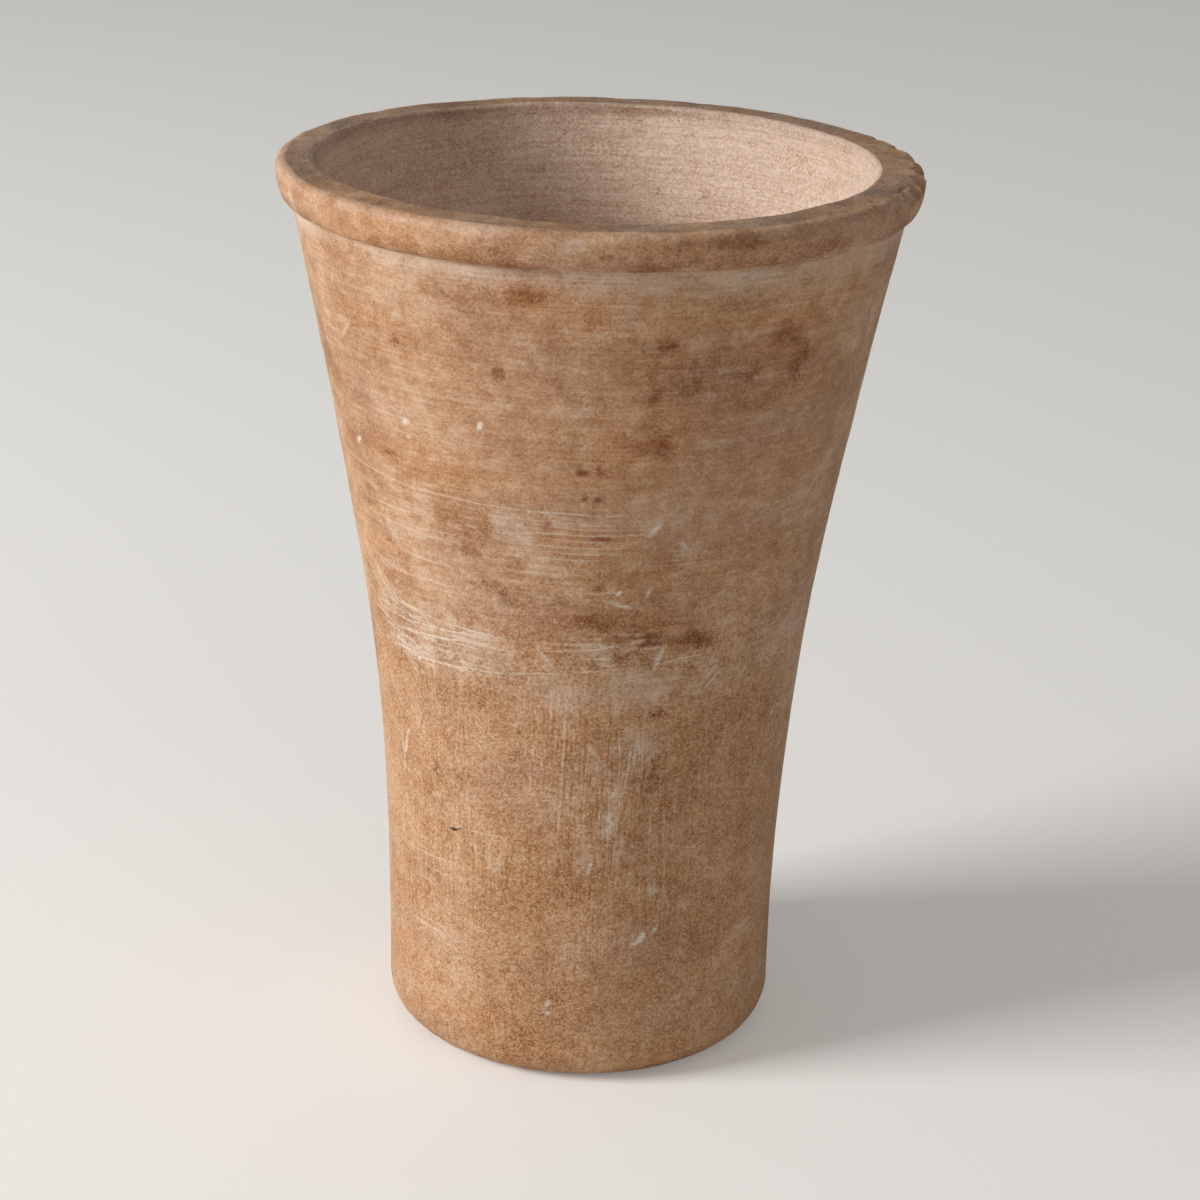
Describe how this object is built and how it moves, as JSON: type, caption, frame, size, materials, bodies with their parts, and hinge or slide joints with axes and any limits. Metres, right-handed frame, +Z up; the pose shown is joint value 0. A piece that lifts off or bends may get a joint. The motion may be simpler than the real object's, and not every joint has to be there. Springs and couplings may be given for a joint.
{
  "type": "conical vase",
  "caption": "Free-standing stone vase with a flat foot, a wall that rises upright then flares, and a thick flat-topped lip over an undercut neck; it holds liquids, dry goods or stems.",
  "frame": {"origin": "middle of the flat underside of the foot, on the vase's turning axis", "axes": "+Z up along the turning axis from the foot to the mouth; -Y faces the viewer of the picture and +X is to that viewer's right"},
  "size_m": [0.1074, 0.1074, 0.155],
  "materials": {
    "carved_calcite": "satin"
  },
  "bodies": {
    "root": {"vase_body": "carved_calcite"}
  },
  "joints": []
}
